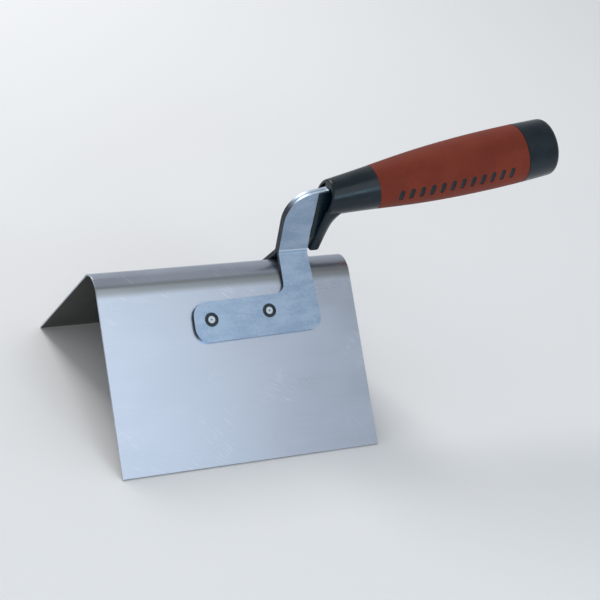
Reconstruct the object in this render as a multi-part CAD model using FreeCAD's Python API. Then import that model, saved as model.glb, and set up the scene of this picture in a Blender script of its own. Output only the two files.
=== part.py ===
"""Outside corner trowel: a bent steel blade, a two-plate riveted bracket and a moulded handle.

Millimetres. +X runs along the blade's ridge towards the handle, +Z is up, +Y is to the left of
the hand that holds it. The tool stands like a tent on the two long edges of its blade, and its
origin is the centre of the box around it, at the bottom.

While it is built, the tool sits with its apex line on the X axis. The apex line is where the
outer faces of the two flaps would meet if the ridge were sharp, and x = 0 is the blade's front
end. The last lines move everything to the final origin.
"""
import FreeCAD, Part
import math
import os
from FreeCAD import Rotation, Vector

# Blade: one bent sheet
BLADE_LENGTH = 127.0        # 5 in along the ridge
FLAP_WIDTH = 95.4           # 3 3/4 in, apex line to the flap's free edge
SHEET = 0.9
HALF_ANGLE = 42.0           # between a flap and the upright middle plane
RIDGE_RADIUS = 10.8         # outside of the bend

# Bracket: two mirrored plates
PLATE = 2.0                 # thickness
FOOT_FRONT = 43.5           # front end of the foot, from the blade's front end
FOOT_REAR = 107.5
FOOT_TOP = 19.2             # distances down the flap from the apex line
FOOT_BOTTOM = 38.0
FOOT_CANT = 0.027           # the foot's long edges drop this much per mm towards the front
FOOT_CORNER = 7.0
FOOT_REAR_CORNER = 6.0
LEG_FRONT = 90.6
LEG_REAR = 105.5
LEG_FILLET = 4.5
FOLD_INNER_RADIUS = 3.0     # inside of the fold from the flap's plane to upright
SHANK_FRONT = 91.0
SHANK_ROUND = 15.0          # large radius where the shank turns into the tang
TANG_ABOVE = 4.9            # the tang's edges, measured square from the handle's axis
TANG_BELOW = 4.2
TANG_ROOT_ROUND = 12.0      # radius under the tang, inside the nose
TANG_END = 40.0             # station on the handle's axis
TANG_END_ROUND = 1.5
TANG_HOLE_RADIUS = 1.6      # the core's plastic fills these
TANG_HOLES = (8.0, 30.0)

# Rivets: centres as (along the ridge, down the flap)
RIVETS = {"front": (52.0, 29.1), "rear": (81.3, 27.4)}
RIVET_RADIUS = 1.9
RIVET_HEAD_RADIUS = 2.8     # countersunk in the blade's inner face
RIVET_HEAD_DEPTH = 0.7
RECESS_RADIUS = 3.35        # round recess in the plate that the formed end sits in
RECESS_DEPTH = 0.8
COLLAR_RADIUS = 3.25
COLLAR_HEIGHT = 0.3
BOSS_PROUD = 0.1
BOSS_CHAMFER = 0.25
DIMPLE_RADIUS = 0.5

# Handle: a turned outline about an axis that climbs towards the rear
HANDLE_START = (134.8, 31.8)    # station 0 on the axis: the front end of the grip, as (x, z)
HANDLE_TILT = 10.3
HANDLE_OUTLINE = ((-34.0, 7.6), (-16.0, 9.0), (0.0, 10.5), (20.0, 12.5), (40.0, 13.8),
                  (60.0, 14.4), (80.0, 14.4), (100.0, 13.8))       # (station, radius)
GRIP_END = 78.7
HANDLE_END = 96.3
GRIP_WALL = 2.4
GRIP_LIP_ROUND = 0.5
FIT_GAP = 0.05
CAP_ROUND = 3.0
BORE_RADIUS = 6.5               # hollow in the rear of the core, closed by the cap
BORE_START = 56.0
SPIGOT_LENGTH = 11.0
SPIGOT_WALL = 1.8
CAP_HOLLOW = 8.0                # how far the spigot's hollow runs on into the cap

# Nose: the front of the core, which wraps the tang and drops a tail behind the shank
NOSE_FOOT = (106.54, 0.5)       # lower end of the nose's front face, as (x, z)
NOSE_FOOT_REAR = 112.7          # where the tail's round rear corner would be if it were sharp
NOSE_FOOT_ROUND = 1.2
NOSE_EDGE_ROUND = 1.0
NOSE_LEAN = 0.148               # how far the front face leans back per mm of height
NOSE_TOP = 39.2
NOSE_TOP_ROUND = 7.0
TAIL_ROUND = 2.2
TAIL_SECTIONS = (               # (z, rear x, half width)
    (-0.6, 112.0, 1.9), (5.0, 113.2, 3.1), (10.0, 114.4, 4.3), (15.0, 116.0, 5.2),
    (19.0, 118.4, 6.0), (23.0, 123.0, 6.6), (28.0, 131.0, 7.6))
LIP = 1.5                       # wall left outside the two pockets in the nose's front
POCKET_DEPTH = 4.5
POCKET_BOTTOM = 8.4
POCKET_TOP = 35.0
POCKET_ROUNDS = (2.0, 1.5)      # at the bottom and at the top of its rear wall
WEB_HALF = 2.6                  # the web between the pockets is split by the plates
WEB_FRONT = (105.5, 106.4)      # its front edge at the bottom and at the top
WEB_BOTTOM = 8.0
WEB_TOP_STEP = 0.5              # how far its top is below the plates' top edge
WEB_CHAMFER = 0.45

# Marks: a plain row of slanted bars that stand through the grip on each side
MARK_COUNT = 12
MARK_FIRST = 10.5
MARK_PITCH = 5.3
MARK_LENGTH = 5.6
MARK_WIDTH = 2.2
MARK_SLANT = 14.0
MARK_DROP = 1.2                 # below the handle's axis
MARK_SUNK = 0.25                # below the grip's surface

ALPHA = math.radians(HALF_ANGLE)
TILT = math.radians(HANDLE_TILT)
FAR = 200.0                     # longer than anything, for cutting
OVER = 1.0                      # how far a cutting or joining solid runs past a face
TOUCH = 0.02                    # how close an edge lies to a surface that it belongs to


def flap_point(along, down, out=0.0):
    """A point by its place on the near flap: along the ridge, down the flap, out of its face."""
    return Vector(along,
                  -down * math.sin(ALPHA) - out * math.cos(ALPHA),
                  -down * math.cos(ALPHA) + out * math.sin(ALPHA))


def side_point(across, up, y=0.0):
    """A point in an upright plane along the ridge."""
    return Vector(across, y, up)


FLAP_OUT = flap_point(0, 0, 1)


def axis_point(station, above=0.0):
    """(x, z) of a point by its station on the handle's axis and its height square from it."""
    return (HANDLE_START[0] + station * math.cos(TILT) - above * math.sin(TILT),
            HANDLE_START[1] + station * math.sin(TILT) + above * math.cos(TILT))


def rounded_face(corners, place):
    """A face from corners (u, v, radius); each corner with a radius becomes an arc."""
    runs = []
    count = len(corners)
    for i, (u, v, radius) in enumerate(corners):
        here = Vector(u, v, 0)
        back = Vector(corners[i - 1][0], corners[i - 1][1], 0) - here
        ahead = Vector(corners[(i + 1) % count][0], corners[(i + 1) % count][1], 0) - here
        if radius == 0:
            runs.append((here, None, here))
            continue
        back.normalize()
        ahead.normalize()
        half = back.getAngle(ahead) / 2
        middle = (back + ahead).normalize()
        reach = radius / math.tan(half)
        top = here + middle * (radius / math.sin(half) - radius)
        runs.append((here + back * reach, top, here + ahead * reach))
    edges = []
    for i, (start, top, end) in enumerate(runs):
        if top is not None:
            edges.append(Part.Arc(place(start.x, start.y), place(top.x, top.y),
                                  place(end.x, end.y)).toShape())
        following = runs[(i + 1) % count][0]
        if (following - end).Length > 1e-6:
            edges.append(Part.makeLine(place(end.x, end.y), place(following.x, following.y)))
    return Part.Face(Part.Wire(edges))


def mirrored(shape):
    return shape.mirror(Vector(0, 0, 0), Vector(0, 1, 0))


# ---------------------------------------------------------------- blade

def ridge_arc(radius):
    """The bend's arc between the two flaps, at one radius about the bend's centre."""
    centre = Vector(0, 0, -RIDGE_RADIUS / math.sin(ALPHA))
    near = centre + FLAP_OUT * radius
    top = centre + Vector(0, 0, radius)
    far = Vector(0, -near.y, near.z)
    return Part.Arc(near, top, far).toShape(), near, far


def make_blade():
    outer, outer_near, outer_far = ridge_arc(RIDGE_RADIUS)
    inner, inner_near, inner_far = ridge_arc(RIDGE_RADIUS - SHEET)
    edge_out = flap_point(0, FLAP_WIDTH)
    edge_in = flap_point(0, FLAP_WIDTH, -SHEET)
    edges = [
        Part.makeLine(edge_out, outer_near),
        outer,
        Part.makeLine(outer_far, Vector(0, -edge_out.y, edge_out.z)),
        Part.makeLine(Vector(0, -edge_out.y, edge_out.z), Vector(0, -edge_in.y, edge_in.z)),
        Part.makeLine(Vector(0, -edge_in.y, edge_in.z), inner_far),
        inner,
        Part.makeLine(inner_near, edge_in),
        Part.makeLine(edge_in, edge_out),
    ]
    sheet = Part.Face(Part.Wire(edges)).extrude(Vector(BLADE_LENGTH, 0, 0))
    for place in RIVETS.values():
        hole = rivet_hole(place)
        sheet = sheet.cut(hole).cut(mirrored(hole))
    return sheet


# ---------------------------------------------------------------- rivets

def turned_on_flap(outline, place):
    """A solid turned about the flap's normal; outline is (radius, height over the outer face)."""
    along, down = place
    points = [flap_point(along + radius, down, height) for radius, height in outline]
    profile = Part.Face(Part.makePolygon(points + points[:1]))
    return profile.revolve(flap_point(along, down), FLAP_OUT, 360)


def rivet_hole(place):
    """The hole through the blade and the plate, with its countersink and its recess."""
    recess_floor = PLATE - RECESS_DEPTH
    outline = ((0, -SHEET - OVER), (RIVET_HEAD_RADIUS, -SHEET - OVER),
               (RIVET_HEAD_RADIUS, -SHEET), (RIVET_RADIUS, -SHEET + RIVET_HEAD_DEPTH),
               (RIVET_RADIUS, recess_floor), (RECESS_RADIUS, recess_floor),
               (RECESS_RADIUS, PLATE + OVER), (0, PLATE + OVER))
    return turned_on_flap(outline, place)


def make_rivet(place):
    recess_floor = PLATE - RECESS_DEPTH
    top = PLATE + BOSS_PROUD
    outline = ((0, -SHEET), (RIVET_HEAD_RADIUS, -SHEET), (RIVET_RADIUS, -SHEET + RIVET_HEAD_DEPTH),
               (RIVET_RADIUS, recess_floor), (COLLAR_RADIUS, recess_floor),
               (COLLAR_RADIUS, recess_floor + COLLAR_HEIGHT),
               (RIVET_RADIUS, recess_floor + COLLAR_HEIGHT),
               (RIVET_RADIUS, top - BOSS_CHAMFER), (RIVET_RADIUS - BOSS_CHAMFER, top),
               (DIMPLE_RADIUS, top), (0, top - DIMPLE_RADIUS))
    return turned_on_flap(outline, place)


# ---------------------------------------------------------------- bracket

def make_plate():
    """The near plate: foot and leg on the flap, a fold at the apex, then the upright shank."""
    outside_radius = FOLD_INNER_RADIUS + PLATE
    fold = outside_radius * math.tan(ALPHA / 2)

    def foot_edge(along, down):
        return down + FOOT_CANT * (FOOT_REAR - along)

    lower = rounded_face((
        (LEG_FRONT, fold, 0),
        (LEG_FRONT, foot_edge(LEG_FRONT, FOOT_TOP), LEG_FILLET),
        (FOOT_FRONT, foot_edge(FOOT_FRONT, FOOT_TOP), FOOT_CORNER),
        (FOOT_FRONT, foot_edge(FOOT_FRONT, FOOT_BOTTOM), FOOT_CORNER),
        (FOOT_REAR, FOOT_BOTTOM, FOOT_REAR_CORNER),
        (LEG_REAR, fold, 0)), flap_point).extrude(FLAP_OUT * PLATE)

    shank_corner_station = (SHANK_FRONT - HANDLE_START[0] + TANG_ABOVE * math.sin(TILT)) / math.cos(TILT)
    root_station = (LEG_REAR - HANDLE_START[0] - TANG_BELOW * math.sin(TILT)) / math.cos(TILT)
    upper = rounded_face((
        (LEG_FRONT, fold, 0),
        axis_point(shank_corner_station, TANG_ABOVE) + (SHANK_ROUND,),
        axis_point(TANG_END, TANG_ABOVE) + (TANG_END_ROUND,),
        axis_point(TANG_END, -TANG_BELOW) + (TANG_END_ROUND,),
        axis_point(root_station, -TANG_BELOW) + (TANG_ROOT_ROUND,),
        (LEG_REAR, fold, 0)), side_point).extrude(Vector(0, -PLATE, 0))

    centre = Vector(LEG_FRONT, -outside_radius, fold)

    def fold_point(radius, angle):
        return centre + Vector(0, radius * math.cos(angle), -radius * math.sin(angle))

    edges = []
    for radius in (outside_radius, FOLD_INNER_RADIUS):
        edges.append(Part.Arc(fold_point(radius, 0), fold_point(radius, ALPHA / 2),
                              fold_point(radius, ALPHA)).toShape())
    for angle in (0, ALPHA):
        edges.append(Part.makeLine(fold_point(outside_radius, angle),
                                   fold_point(FOLD_INNER_RADIUS, angle)))
    bend = Part.Face(Part.Wire(Part.__sortEdges__(edges)))
    bend = bend.extrude(Vector(LEG_REAR - LEG_FRONT, 0, 0))

    plate = lower.multiFuse([bend, upper]).removeSplitter()
    for station in TANG_HOLES:
        middle = axis_point(station, (TANG_ABOVE - TANG_BELOW) / 2)
        plate = plate.cut(Part.makeCylinder(TANG_HOLE_RADIUS, PLATE, side_point(*middle),
                                            Vector(0, -1, 0)))
    for place in RIVETS.values():
        plate = plate.cut(rivet_hole(place))
    return plate


# ---------------------------------------------------------------- handle

def on_axis(shape):
    """Move a shape from its own axis, along +X from the origin, to the handle's axis."""
    shape.Placement = FreeCAD.Placement(Vector(HANDLE_START[0], 0, HANDLE_START[1]),
                                        Rotation(Vector(0, 1, 0), -HANDLE_TILT))
    return shape


def turned(inset, start, end):
    """The handle's turned body between two stations, its surface moved in by the inset."""
    points = [Vector(station, 0, radius - inset) for station, radius in HANDLE_OUTLINE]
    curve = Part.BSplineCurve()
    curve.interpolate(points)
    first = Vector(points[0].x, 0, 0)
    last = Vector(points[-1].x, 0, 0)
    profile = Part.Face(Part.Wire([Part.makeLine(first, points[0]), curve.toShape(),
                                   Part.makeLine(points[-1], last), Part.makeLine(last, first)]))
    body = profile.revolve(Vector(0, 0, 0), Vector(1, 0, 0), 360)
    slab = Part.makeBox(end - start, FAR, FAR, Vector(start, -FAR / 2, -FAR / 2))
    return body.common(slab)


def mark_bars(clearance):
    """A row of slanted bars with round ends, right through the handle from side to side."""
    bars = []
    width = MARK_WIDTH + 2 * clearance
    straight = MARK_LENGTH - MARK_WIDTH
    for i in range(MARK_COUNT):
        bar = Part.makeBox(width, FAR, straight, Vector(-width / 2, -FAR / 2, -straight / 2))
        for end in (-straight / 2, straight / 2):
            bar = bar.fuse(Part.makeCylinder(width / 2, FAR, Vector(0, -FAR / 2, end),
                                             Vector(0, 1, 0)))
        bar = bar.removeSplitter()
        bar.rotate(Vector(0, 0, 0), Vector(0, 1, 0), MARK_SLANT)
        bar.translate(Vector(MARK_FIRST + i * MARK_PITCH, 0, -MARK_DROP))
        bars.append(bar)
    return bars


def end_rims(body, *stations):
    """The round edges of a turned body at the given stations."""
    return [edge for edge in body.Edges
            if edge.Closed and any(abs(edge.CenterOfMass.x - at) < TOUCH for at in stations)]


def make_grip():
    body = turned(0, 0, GRIP_END)
    body = body.makeFillet(GRIP_LIP_ROUND, end_rims(body, 0, GRIP_END))
    sleeve = body.cut(turned(GRIP_WALL - FIT_GAP, -OVER, GRIP_END + OVER))
    return on_axis(sleeve.cut(Part.makeCompound(mark_bars(FIT_GAP))))


def make_tail(inset):
    """The fin under the nose, wide where it joins the handle and narrow at its tip."""
    sections = []
    front = NOSE_FOOT[0] - 2 * OVER
    for z, rear, half_width in TAIL_SECTIONS:
        half = half_width - inset
        flank = rear - inset - half
        sections.append(Part.Wire([
            Part.makeLine(Vector(front, -half, z), Vector(flank, -half, z)),
            Part.Arc(Vector(flank, -half, z), Vector(rear - inset, 0, z),
                     Vector(flank, half, z)).toShape(),
            Part.makeLine(Vector(flank, half, z), Vector(front, half, z)),
            Part.makeLine(Vector(front, half, z), Vector(front, -half, z))]))
    return Part.makeLoft(sections, True, False)


def through(face):
    """A face drawn in the upright middle plane, made into a solid right through the handle."""
    solid = face.extrude(Vector(0, FAR / 2, 0))
    solid.translate(Vector(0, -FAR / 4, 0))
    return solid


def front_x(z):
    return NOSE_FOOT[0] + NOSE_LEAN * (z - NOSE_FOOT[1])


def is_front_edge(edge):
    """Whether an edge lies along one side of the nose's leaning front face."""
    length = edge.LastParameter - edge.FirstParameter
    spots = [edge.valueAt(edge.FirstParameter + length * part) for part in (0.0, 0.5, 1.0)]
    return (edge.BoundBox.ZLength > NOSE_EDGE_ROUND
            and all(abs(spot.x - front_x(spot.z)) < TOUCH for spot in spots))


def make_nose():
    body = on_axis(turned(0, HANDLE_OUTLINE[0][0], 0)).fuse(make_tail(0))
    shoulder = TAIL_SECTIONS[2]
    side = through(rounded_face((
        (NOSE_FOOT[0], NOSE_FOOT[1], NOSE_FOOT_ROUND),
        (front_x(NOSE_TOP), NOSE_TOP, NOSE_TOP_ROUND),
        (HANDLE_START[0] - 10, NOSE_TOP + 5, 0),
        (HANDLE_START[0] + 20, NOSE_TOP + 12, 0),
        (HANDLE_START[0] + 20, shoulder[0], 0),
        (shoulder[1] + OVER, shoulder[0], 0),
        (NOSE_FOOT_REAR, NOSE_FOOT[1], TAIL_ROUND)), side_point))
    room = on_axis(turned(LIP, HANDLE_OUTLINE[0][0], 0)).fuse(make_tail(LIP))
    pocket = through(rounded_face((
        (front_x(POCKET_BOTTOM) - 2 * OVER, POCKET_BOTTOM, 0),
        (front_x(POCKET_TOP) - 2 * OVER, POCKET_TOP, 0),
        (front_x(POCKET_TOP) + POCKET_DEPTH, POCKET_TOP, POCKET_ROUNDS[1]),
        (front_x(POCKET_BOTTOM) + POCKET_DEPTH, POCKET_BOTTOM, POCKET_ROUNDS[0])), side_point))
    middle = Part.makeBox(FAR, 2 * WEB_HALF, FAR, Vector(0, -WEB_HALF, -FAR / 2))
    nose = body.common(side)
    nose = nose.makeFillet(NOSE_EDGE_ROUND, [edge for edge in nose.Edges if is_front_edge(edge)])
    return nose.cut(room.common(pocket).cut(middle))


def make_web():
    top = TANG_ABOVE - WEB_TOP_STEP
    station = (WEB_FRONT[1] - HANDLE_START[0] + top * math.sin(TILT)) / math.cos(TILT)
    rear = front_x(WEB_BOTTOM) + POCKET_DEPTH
    web = rounded_face((
        (WEB_FRONT[0], WEB_BOTTOM, 0),
        axis_point(station, top) + (0,),
        axis_point(station + POCKET_DEPTH * 2, top) + (0,),
        (rear, WEB_BOTTOM, 0)), side_point).extrude(Vector(0, 2 * WEB_HALF, 0))
    web.translate(Vector(0, -WEB_HALF, 0))
    front_edges = [edge for edge in web.Edges
                   if edge.BoundBox.XMax < WEB_FRONT[1] + 0.1 and edge.BoundBox.ZLength > 5]
    return web.makeChamfer(WEB_CHAMFER, front_edges)


def make_core(plates):
    limit = turned(MARK_SUNK, 0, GRIP_END)
    pads = Part.makeCompound(mark_bars(0)).common(limit)
    pads = pads.cut(turned(GRIP_WALL + OVER, -OVER, GRIP_END + OVER))
    shaft = turned(GRIP_WALL, -OVER, GRIP_END)
    bore = Part.makeCylinder(BORE_RADIUS, FAR, Vector(BORE_START, 0, 0), Vector(1, 0, 0))
    core = make_nose().multiFuse([make_web(), on_axis(shaft.fuse(pads).cut(bore))])
    for plate in plates:
        core = core.cut(plate)
    return core.removeSplitter()


def make_cap():
    shell = turned(0, GRIP_END, HANDLE_END)
    shell = shell.makeFillet(CAP_ROUND, end_rims(shell, HANDLE_END))
    spigot_radius = BORE_RADIUS - FIT_GAP
    spigot = Part.makeCylinder(spigot_radius, SPIGOT_LENGTH + OVER,
                               Vector(GRIP_END - SPIGOT_LENGTH, 0, 0), Vector(1, 0, 0))
    hollow = Part.makeCylinder(spigot_radius - SPIGOT_WALL, SPIGOT_LENGTH + CAP_HOLLOW,
                               Vector(GRIP_END - SPIGOT_LENGTH, 0, 0), Vector(1, 0, 0))
    return on_axis(shell.fuse(spigot).cut(hollow).removeSplitter())


near_plate = make_plate()
far_plate = mirrored(near_plate)
parts = {
    "blade": make_blade(),
    "near_bracket_plate": near_plate,
    "far_bracket_plate": far_plate,
    "handle_core": make_core((near_plate, far_plate)),
    "soft_grip": make_grip(),
    "end_cap": make_cap(),
}
for name, place in RIVETS.items():
    rivet = make_rivet(place)
    parts["near_" + name + "_rivet"] = rivet
    parts["far_" + name + "_rivet"] = mirrored(rivet)

box = Part.makeCompound(list(parts.values())).optimalBoundingBox(False, False)
to_origin = Vector(-box.Center.x, 0, -box.ZMin)

os.makedirs("parts", exist_ok=True)
for name, shape in parts.items():
    moved = shape.copy()
    moved.translate(to_origin)
    solids = moved.Solids
    print(name, "valid", moved.isValid(), "solids", len(solids), "volume %.1f" % moved.Volume)
    moved = solids[0] if len(solids) == 1 else Part.makeCompound(solids)
    moved.exportStep("parts/" + name + ".step")
print("box %.1f x %.1f x %.1f" % (box.XLength, box.YLength, box.ZLength),
      "origin moved by (%.2f, %.2f, %.2f)" % (to_origin.x, to_origin.y, to_origin.z))
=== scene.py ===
import math

import bpy
from mathutils import Matrix, Vector


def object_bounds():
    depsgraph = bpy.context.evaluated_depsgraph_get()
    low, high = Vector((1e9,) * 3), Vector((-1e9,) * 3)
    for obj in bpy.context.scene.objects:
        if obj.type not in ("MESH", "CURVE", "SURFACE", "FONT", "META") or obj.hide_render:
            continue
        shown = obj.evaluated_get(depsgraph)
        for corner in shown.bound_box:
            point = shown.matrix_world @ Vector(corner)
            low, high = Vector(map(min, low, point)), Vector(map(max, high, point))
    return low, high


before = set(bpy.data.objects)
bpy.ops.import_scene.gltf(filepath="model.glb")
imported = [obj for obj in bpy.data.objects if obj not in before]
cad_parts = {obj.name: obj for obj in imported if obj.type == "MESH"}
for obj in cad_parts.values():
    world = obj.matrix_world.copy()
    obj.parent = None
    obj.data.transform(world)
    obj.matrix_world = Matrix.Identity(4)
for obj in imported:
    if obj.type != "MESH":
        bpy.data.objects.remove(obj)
cad_low, cad_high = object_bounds()
MM = 0.001

# Camera: the object seen from its front left, a little from above
CAMERA_AZIMUTH = 29.88          # degrees, from looking along +Y towards looking along +X
CAMERA_ELEVATION = 29.6
CAMERA_ROLL = 10.45
CAMERA_DISTANCE = 736.3 * MM
CAMERA_LENS = 91.19             # mm
CAMERA_SENSOR = 36              # mm
CAMERA_TARGET = Vector((-8.0, 0.0, 43.6)) * MM

# Where the CAD puts the tool's features, in mm in the row frame
BLADE_FRONT_X = -115.79         # the blade's front end
APEX_Z = 71.498                 # the line where the flaps would meet if the ridge were sharp
FLAP_ANGLE = math.radians(42)   # between a flap and the upright middle plane
RIVETS = {"front": (52.0, 29.1), "rear": (81.3, 27.4)}     # along the ridge, down the flap
RIVET_BOSS_RADIUS = 1.9
FOLD_LINE_Z = APEX_Z + 1.9      # where the plates turn upright

# Marks of making and wear, and painted light and shade, in mm
PAINTED_BAND_Z = (59.8, 62.6, 63.8, 65.0)     # painted reflection: the dark band beside the bend; it fades in over the first two, out over the last
                                            # it fades in over the first two, out over the last
FOLD_HIGHLIGHT_HALF = (0.1, 0.55)    # the painted highlight along the fold: full up to the first, gone at the last
SEAM_SHADE_HALF = (0.25, 0.65)        # the painted shade along the seam between the plates, likewise
GROOVE_INSIDE_BOSS = (0.35, 0.05)           # where the painted shade in the groove starts and is full
DIMPLE_SHADE_RADII = (0.25, 0.5)      # the painted shade in the boss's dimple: full up to the first, gone at the last
TURNING_PITCH = 0.3             # of the rings on a rivet
HAIRLINE_WIDTH = 0.3
HAIRLINE_LENGTH = 9
HAIRLINE_SETS = ((32, 0.0), (46, 7.0))      # (slope to the ridge in degrees, slice of noise)

# Edge rounds added to the CAD meshes, in mm
BLADE_EDGE = 0.14
PLATE_EDGE = 0.34
RIVET_EDGE = 0.1
WELD_DISTANCE = 0.001
SHARP_ANGLE = math.radians(35)  # an edge that turns more than this is rounded

# Colours, linear. A pair is the darker and the lighter tone of a mottled surface
BLADE_OUTSIDE = (0.451, 0.490, 0.572), (0.485, 0.529, 0.611)
# painted shade: the darker colour of the blade's surfaces that face down, inside the flaps
BLADE_UNDERSIDE_SHADE = (0.095, 0.095, 0.092), (0.145, 0.145, 0.140)
HAIRLINE = (0.84, 0.87, 0.92)
# painted reflection: the dark band beside the bend
PAINTED_REFLECTION_BAND = (0.265, 0.281, 0.293)
ZINC = (0.290, 0.385, 0.520), (0.385, 0.480, 0.605)
ZINC_SPECKLE = (0.50, 0.58, 0.66)
# painted highlight: the bright colour on the plates' rounded edges and along the fold
PAINTED_HIGHLIGHT = (0.72, 0.82, 0.92)
# painted shade: the dark colour on the plates' ends and along their seam
PAINTED_EDGE_SHADE = (0.06, 0.07, 0.085)
RIVET_BOSS = (0.48, 0.54, 0.60), (0.66, 0.71, 0.76)
# painted shade in the boss's dimple
RIVET_DIMPLE_SHADE = (0.10, 0.12, 0.14)
# painted shade in the groove round the boss
RIVET_GROOVE_SHADE = (0.05, 0.06, 0.07)
PLASTIC = (0.0030, 0.0105, 0.0165), (0.0055, 0.0150, 0.0220)
RUBBER = (0.176, 0.0270, 0.0128), (0.212, 0.0360, 0.0185)
RUBBED_RUBBER = (0.27, 0.075, 0.052)
FLOOR = (0.87, 0.88, 0.89), (0.90, 0.90, 0.90)

# Studio. A softbox is: direction from the object, distance in m, size in m, brightness as seen
# in a mirror, colour
FLOOR_SIZE = 8
SOFTBOXES = {
    "flap_light": ((0.15, -0.63, 0.77), 1.1, (0.46, 0.66), 1.28, (0.88, 0.95, 1.0)),
    "key": ((-0.20, 0.70, 0.66), 1.3, (0.5, 0.5), 9.0, (1.0, 0.99, 0.97)),
    "front_fill": ((-0.40, -0.78, 0.48), 1.3, (0.4, 0.5), 2.6, (1.0, 0.99, 0.97)),
    # the bluish highlight along the nose and the grip
    "low_strip": ((0.10, -0.86, 0.37), 2.0, (0.66, 0.20), 11.0, (0.50, 0.78, 1.0)),
}
ROOM = (                        # (height of a direction, colour), from the horizon up
    (0.0, (0.50, 0.53, 0.56)), (0.55, (0.48, 0.50, 0.53)),
    (0.78, (0.38, 0.39, 0.40)), (1.0, (0.46, 0.47, 0.49)))

# ------------------------------------------------------------------ node trees

# The colour mix node's sockets have the same names as its other types', so they go by number
MIX_COLOUR_INPUTS = (6, 7)
MIX_COLOUR_OUTPUT = 2


def material(name, metallic=0.0, specular=0.5):
    """A new material: its node tree and its main shader, with the constants that never vary."""
    made = bpy.data.materials.new(name)
    made.use_nodes = True
    shader = made.node_tree.nodes["Principled BSDF"]
    shader.inputs["Metallic"].default_value = metallic
    shader.inputs["Specular IOR Level"].default_value = specular
    return made, made.node_tree, shader


def feed(tree, socket, value):
    """Set an input socket, or link it where the value is another node's output."""
    if isinstance(value, bpy.types.NodeSocket):
        tree.links.new(value, socket)
    else:
        socket.default_value = value


def node(tree, kind, inputs, output=0, **settings):
    """Add a shader node, set it up, and give back one of its outputs."""
    made = tree.nodes.new("ShaderNode" + kind)
    for key, value in settings.items():
        setattr(made, key, value)
    for key, value in inputs.items():
        feed(tree, made.inputs[key], value)
    return made.outputs[output]


def place(tree):
    """The point being shaded, in metres in the row frame."""
    return node(tree, "TexCoord", {}, output="Object")


def coordinate(tree, axis):
    """One coordinate of the point being shaded."""
    return node(tree, "SeparateXYZ", {0: place(tree)}, output=axis)


def facing(tree, axis):
    """One component of the surface's direction, in the row frame."""
    normal = node(tree, "TexCoord", {}, output="Normal")
    return node(tree, "SeparateXYZ", {0: normal}, output=axis)


def maths(tree, operation, *values, clamp=False):
    return node(tree, "Math", dict(enumerate(values)), operation=operation, use_clamp=clamp)


def vectors(tree, operation, first, second=None, output=0):
    inputs = {0: first} if second is None else {0: first, 1: second}
    return node(tree, "VectorMath", inputs, output=output, operation=operation)


def spread(tree, value, low, high, to_low=0.0, to_high=1.0):
    """Map a value's range low..high to another range, smoothly and clamped."""
    return node(tree, "MapRange", {"Value": value, "From Min": low, "From Max": high,
                                   "To Min": to_low, "To Max": to_high},
                interpolation_type="SMOOTHSTEP")


def noise(tree, size_mm, detail=2.0, turn=(0, 0, 0), roughness=0.5):
    """Noise whose features measure size_mm along each of the row frame's axes, after a turn."""
    scale = tuple(1 / (size * MM) for size in size_mm)
    turned = node(tree, "Mapping", {"Vector": place(tree), "Rotation": turn},
                  vector_type="POINT")
    scaled = node(tree, "Mapping", {"Vector": turned, "Scale": scale}, vector_type="POINT")
    return node(tree, "TexNoise", {"Vector": scaled, "Scale": 1.0, "Detail": detail,
                                   "Roughness": roughness}, output="Fac")


def blend(tree, first, first_share, second, second_share):
    """The sum of two values, each times its share."""
    return maths(tree, "ADD", maths(tree, "MULTIPLY", first, first_share),
                 maths(tree, "MULTIPLY", second, second_share))


def with_alpha(colour):
    return (*colour, 1.0)


def mix_colours(tree, factor, *colours):
    """Blend two colours, each a (red, green, blue) or another node's output."""
    made = tree.nodes.new("ShaderNodeMix")
    made.data_type = "RGBA"
    feed(tree, made.inputs["Factor"], factor)
    for socket, colour in zip(MIX_COLOUR_INPUTS, colours):
        linked = isinstance(colour, bpy.types.NodeSocket)
        feed(tree, made.inputs[socket], colour if linked else with_alpha(colour))
    return made.outputs[MIX_COLOUR_OUTPUT]


def bump(tree, shader, height, depth_mm):
    normal = node(tree, "Bump", {"Height": height, "Distance": depth_mm * MM,
                                 "Strength": 1.0}, output="Normal")
    tree.links.new(normal, shader.inputs["Normal"])


def scratches(tree, slope, depth):
    """Sparse hairlines that run down the flaps at a slope to the ridge, 1 where there is one.

    depth picks another slice of the same noise, so that two sets differ.
    """
    def along(ridge_part, down_part):
        axis = (ridge_part, 0, -down_part / math.cos(FLAP_ANGLE))
        return vectors(tree, "DOT_PRODUCT", place(tree), axis, output="Value")

    across = maths(tree, "DIVIDE", along(-math.sin(slope), math.cos(slope)), HAIRLINE_WIDTH * MM)
    length = maths(tree, "DIVIDE", along(math.cos(slope), math.sin(slope)), HAIRLINE_LENGTH * MM)
    point = node(tree, "CombineXYZ", {"X": across, "Y": length, "Z": depth})
    lines = node(tree, "TexNoise", {"Vector": point, "Scale": 1.0, "Detail": 0.0}, output="Fac")
    patches = noise(tree, (26, 26, 26), detail=1.0, turn=(depth, 0, 0))
    return maths(tree, "MULTIPLY", spread(tree, lines, 0.70, 0.76),
                 spread(tree, patches, 0.55, 0.66))


def flatness(tree):
    """How squarely a plate's surface faces out of the flaps or out of the shank: 1 on its faces."""
    normal = node(tree, "TexCoord", {}, output="Normal")
    best = maths(tree, "ABSOLUTE", facing(tree, "Y"))
    for side in (-1, 1):
        outward = (0, side * math.cos(FLAP_ANGLE), math.sin(FLAP_ANGLE))
        square = vectors(tree, "DOT_PRODUCT", normal, outward, output="Value")
        best = maths(tree, "MAXIMUM", best, maths(tree, "ABSOLUTE", square))
    return best


# ------------------------------------------------------------------ materials

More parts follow.
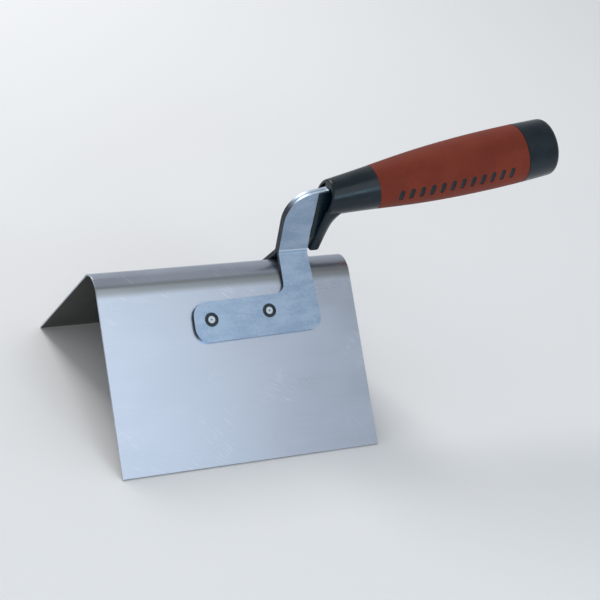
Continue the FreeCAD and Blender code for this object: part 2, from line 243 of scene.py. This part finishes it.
def steel_sheet():
    """Ground spring steel: grain along the ridge, soft clouds and hairlines, with a painted dark
    reflection band beside the bend and painted shade on the surfaces that face down.
    """
    made, tree, shader = material("blade_steel", metallic=1.0)
    grain = noise(tree, (40, 0.45, 0.45), detail=3.0)
    clouds = noise(tree, (45, 22, 22), detail=3.0)
    hairlines = maths(tree, "ADD", *(scratches(tree, math.radians(slope), depth)
                                     for slope, depth in HAIRLINE_SETS), clamp=True)
    tone = blend(tree, grain, 0.35, clouds, 0.65)
    outside = mix_colours(tree, spread(tree, tone, 0.35, 0.65), *BLADE_OUTSIDE)
    outside = mix_colours(tree, maths(tree, "MULTIPLY", hairlines, 0.4), outside, HAIRLINE)
    # painted reflection: a dark band beside the bend stands in for a darker reflection of the room
    height = coordinate(tree, "Z")
    start, full, fading, end = (z * MM for z in PAINTED_BAND_Z)
    painted_band_mask = maths(tree, "MULTIPLY", spread(tree, height, start, full),
                       spread(tree, height, fading, end, 1.0, 0.0))
    outside = mix_colours(tree, painted_band_mask, outside, PAINTED_REFLECTION_BAND)
    # painted shade: the surfaces that face down, inside the flaps, are darkened
    inside = mix_colours(tree, tone, *BLADE_UNDERSIDE_SHADE)
    underside_shade_mask = spread(tree, facing(tree, "Z"), -0.25, -0.05, 1.0, 0.0)
    feed(tree, shader.inputs["Base Color"], mix_colours(tree, underside_shade_mask, outside, inside))
    roughness = maths(tree, "ADD", spread(tree, grain, 0.3, 0.7, 0.29, 0.33),
                      spread(tree, clouds, 0.35, 0.65, -0.02, 0.03))
    feed(tree, shader.inputs["Roughness"],
         maths(tree, "ADD", roughness, maths(tree, "MULTIPLY", hairlines, 0.08)))
    bump(tree, shader, grain, 0.0005)
    return made


def zinc_plate():
    """Zinc-plated stamped steel: mottled, with painted shade on the ends and along the seam, and
    painted highlights on the edges and the fold line.
    """
    made, tree, shader = material("bracket_steel", metallic=1.0)
    mottle = noise(tree, (1.1, 1.1, 1.1), detail=4.0, roughness=0.65)
    speckle = noise(tree, (0.35, 0.35, 0.35), detail=2.0)
    clouds = noise(tree, (11, 4, 4), detail=3.0)
    tone = blend(tree, mottle, 0.4, clouds, 0.6)
    zinc = mix_colours(tree, spread(tree, tone, 0.38, 0.62), *ZINC)
    zinc = mix_colours(tree, spread(tree, speckle, 0.62, 0.75, 0.0, 0.4), zinc, ZINC_SPECKLE)

    # painted highlight: a bright line along the fold
    from_fold = maths(tree, "ABSOLUTE",
                      maths(tree, "SUBTRACT", coordinate(tree, "Z"), FOLD_LINE_Z * MM))
    full, gone = (half * MM for half in FOLD_HIGHLIGHT_HALF)
    fold_highlight_mask = spread(tree, from_fold, full, gone, 0.8, 0.0)
    flat = flatness(tree)
    # painted highlight: a bright line on the plates' rounded edges
    edge_highlight_mask = maths(tree, "MULTIPLY", spread(tree, flat, 0.2, 0.4),
                 spread(tree, flat, 0.8, 0.95, 0.35, 0.0))
    zinc = mix_colours(tree, maths(tree, "MAXIMUM", fold_highlight_mask, edge_highlight_mask), zinc, PAINTED_HIGHLIGHT)

    # painted shade: a dark line along the seam between the plates
    from_middle = maths(tree, "ABSOLUTE", coordinate(tree, "Y"))
    full, gone = (half * MM for half in SEAM_SHADE_HALF)
    seam_shade_mask = maths(tree, "MULTIPLY", spread(tree, flat, 0.5, 0.9, 1.0, 0.0),
                 spread(tree, from_middle, full, gone, 0.85, 0.0))
    # painted shade: the ends that face along the ridge are darkened
    endwise = maths(tree, "ABSOLUTE", facing(tree, "X"))
    painted_shade_mask = maths(tree, "MAXIMUM", spread(tree, endwise, 0.58, 0.92), seam_shade_mask)
    feed(tree, shader.inputs["Base Color"], mix_colours(tree, painted_shade_mask, zinc, PAINTED_EDGE_SHADE))
    feed(tree, shader.inputs["Roughness"],
         maths(tree, "ADD", spread(tree, tone, 0.35, 0.65, 0.33, 0.41),
               spread(tree, flat, 0.45, 0.80, 0.20, 0.0)))
    bump(tree, shader, maths(tree, "ADD", mottle, maths(tree, "MULTIPLY", speckle, 0.5)), 0.012)
    return made


def rivet_steel(side, along, down):
    """A formed rivet end: a bright boss with painted shade in its groove and its dimple, and faint
    turning marks round it.
    """
    made, tree, shader = material("rivet_steel_" + side + "_%d" % along, metallic=1.0)
    sign = -1 if side == "near" else 1
    centre = Vector((along + BLADE_FRONT_X, sign * down * math.sin(FLAP_ANGLE),
                     APEX_Z - down * math.cos(FLAP_ANGLE))) * MM
    outward = Vector((0, sign * math.cos(FLAP_ANGLE), math.sin(FLAP_ANGLE)))
    offset = vectors(tree, "SUBTRACT", place(tree), centre)
    across = vectors(tree, "CROSS_PRODUCT", offset, outward)
    radius = vectors(tree, "LENGTH", across, output="Value")

    # painted shade in the groove round the boss
    groove_start, groove_full = ((RIVET_BOSS_RADIUS - inside) * MM for inside in GROOVE_INSIDE_BOSS)
    groove_shade_mask = spread(tree, radius, groove_start, groove_full)
    # painted shade in the boss's dimple
    full, gone = (dimple_radius * MM for dimple_radius in DIMPLE_SHADE_RADII)
    dimple_shade_mask = spread(tree, radius, full, gone, 0.7, 0.0)
    mottle = noise(tree, (0.5, 0.5, 0.5), detail=3.0)
    boss = mix_colours(tree, dimple_shade_mask, mix_colours(tree, mottle, *RIVET_BOSS), RIVET_DIMPLE_SHADE)
    feed(tree, shader.inputs["Base Color"], mix_colours(tree, groove_shade_mask, boss, RIVET_GROOVE_SHADE))
    feed(tree, shader.inputs["Roughness"], spread(tree, mottle, 0.3, 0.7, 0.34, 0.5))
    turns = maths(tree, "MULTIPLY", radius, 2 * math.pi / (TURNING_PITCH * MM))
    rings = maths(tree, "MULTIPLY", maths(tree, "SINE", turns), 0.15)
    bump(tree, shader, maths(tree, "ADD", mottle, rings), 0.015)
    return made


def moulded_plastic():
    """Hard blue-black plastic with the fine spark grain of its mould and a little shine."""
    made, tree, shader = material("hard_plastic", specular=0.36)
    pebble = noise(tree, (0.42, 0.42, 0.42), detail=2.0)
    clouds = noise(tree, (11, 11, 11), detail=3.0)
    feed(tree, shader.inputs["Base Color"],
         mix_colours(tree, spread(tree, clouds, 0.35, 0.65), *PLASTIC))
    feed(tree, shader.inputs["Roughness"],
         maths(tree, "ADD", spread(tree, clouds, 0.35, 0.65, 0.21, 0.28),
               maths(tree, "MULTIPLY", pebble, 0.05)))
    bump(tree, shader, pebble, 0.035)
    return made


def soft_rubber():
    """Brick-red moulded rubber: matt, finely stippled, slightly rubbed and dusty in patches."""
    made, tree, shader = material("soft_grip", specular=0.18)
    stipple = noise(tree, (0.5, 0.5, 0.5), detail=2.0, roughness=0.6)
    clouds = noise(tree, (16, 12, 12), detail=3.0)
    flecks = noise(tree, (0.9, 0.9, 0.9), detail=1.0)
    rubber = mix_colours(tree, spread(tree, clouds, 0.32, 0.68), *RUBBER)
    feed(tree, shader.inputs["Base Color"],
         mix_colours(tree, spread(tree, flecks, 0.60, 0.78, 0.0, 0.22), rubber, RUBBED_RUBBER))
    feed(tree, shader.inputs["Roughness"], spread(tree, clouds, 0.3, 0.7, 0.62, 0.74))
    shader.inputs["Sheen Weight"].default_value = 0.04
    shader.inputs["Sheen Roughness"].default_value = 0.5
    bump(tree, shader, maths(tree, "ADD", stipple, maths(tree, "MULTIPLY", flecks, 0.4)), 0.06)
    return made


def pale_floor():
    made, tree, shader = material("floor", specular=0.2)
    clouds = noise(tree, (180, 180, 180), detail=2.0)
    feed(tree, shader.inputs["Base Color"], mix_colours(tree, clouds, *FLOOR))
    shader.inputs["Roughness"].default_value = 0.9
    return made


# ------------------------------------------------------------------ dressing the CAD nodes

def soften_edges(piece, width_mm):
    """Round a node's sharp edges a little, so that they catch the light as worked metal does."""
    weld = piece.modifiers.new("weld", "WELD")
    weld.merge_threshold = WELD_DISTANCE * MM
    bevel = piece.modifiers.new("edges", "BEVEL")
    bevel.width = width_mm * MM
    bevel.segments = 2
    bevel.limit_method = "ANGLE"
    bevel.angle_limit = SHARP_ANGLE
    bevel.use_clamp_overlap = True
    bevel.harden_normals = True
    shading = piece.modifiers.new("shading", "WEIGHTED_NORMAL")
    shading.weight = 100        # the large flat faces decide


def dress(name, look, edge_mm=0.0):
    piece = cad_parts[name]
    piece.data.materials.clear()
    piece.data.materials.append(look)
    if edge_mm:
        soften_edges(piece, edge_mm)


def dress_all():
    dress("blade", steel_sheet(), edge_mm=BLADE_EDGE)
    zinc = zinc_plate()
    for side in ("near", "far"):
        dress(side + "_bracket_plate", zinc, edge_mm=PLATE_EDGE)
        for end, (along, down) in RIVETS.items():
            dress(side + "_" + end + "_rivet", rivet_steel(side, along, down),
                  edge_mm=RIVET_EDGE)
    plastic = moulded_plastic()
    dress("handle_core", plastic)
    dress("end_cap", plastic)
    dress("soft_grip", soft_rubber())


# ------------------------------------------------------------------ studio

def add_camera():
    data = bpy.data.cameras.new("camera")
    data.lens = CAMERA_LENS
    data.sensor_width = CAMERA_SENSOR
    camera = bpy.data.objects.new("camera", data)
    bpy.context.scene.collection.objects.link(camera)
    azimuth = math.radians(CAMERA_AZIMUTH)
    elevation = math.radians(CAMERA_ELEVATION)
    back = Vector((-math.sin(azimuth) * math.cos(elevation),
                   -math.cos(azimuth) * math.cos(elevation),
                   math.sin(elevation)))
    turn = back.to_track_quat("Z", "Y").to_matrix().to_4x4()
    roll = Matrix.Rotation(math.radians(CAMERA_ROLL), 4, "Z")
    camera.matrix_world = Matrix.Translation(CAMERA_TARGET + back * CAMERA_DISTANCE) @ turn @ roll
    bpy.context.scene.camera = camera


def add_softbox(name, direction, distance, size, radiance, colour):
    """A rectangular softbox that faces the object and can't be seen by the camera."""
    data = bpy.data.lights.new(name, "AREA")
    data.shape = "RECTANGLE"
    data.size, data.size_y = size
    data.energy = radiance * math.pi * size[0] * size[1]
    data.color = colour
    lamp = bpy.data.objects.new(name, data)
    bpy.context.scene.collection.objects.link(lamp)
    towards = Vector(direction).normalized()
    lamp.location = CAMERA_TARGET + towards * distance
    lamp.rotation_euler = towards.to_track_quat("Z", "Y").to_euler()
    lamp.visible_camera = False


def add_world():
    """A soft room: brighter round the horizon, darker overhead."""
    world = bpy.data.worlds.new("studio")
    world.use_nodes = True
    tree = world.node_tree
    direction = node(tree, "TexCoord", {}, output="Generated")
    height = node(tree, "SeparateXYZ", {0: direction}, output="Z")
    ramp = tree.nodes.new("ShaderNodeValToRGB")
    stops = ramp.color_ramp.elements
    while len(stops) < len(ROOM):
        stops.new(0.5)
    for stop, (position, colour) in zip(stops, ROOM):
        stop.position = position
        stop.color = with_alpha(colour)
    tree.links.new(height, ramp.inputs["Fac"])
    background = tree.nodes["Background"]
    tree.links.new(ramp.outputs["Color"], background.inputs["Color"])
    background.inputs["Strength"].default_value = 1.0
    bpy.context.scene.world = world


def add_floor():
    bpy.ops.mesh.primitive_plane_add(size=FLOOR_SIZE, location=(0, 0, cad_low.z))
    floor = bpy.context.object
    floor.name = "floor"
    floor.data.materials.append(pale_floor())


def light_studio():
    add_world()
    add_floor()
    for name, settings in SOFTBOXES.items():
        add_softbox(name, *settings)


dress_all()
add_camera()
light_studio()
bpy.context.scene.view_settings.view_transform = "Standard"
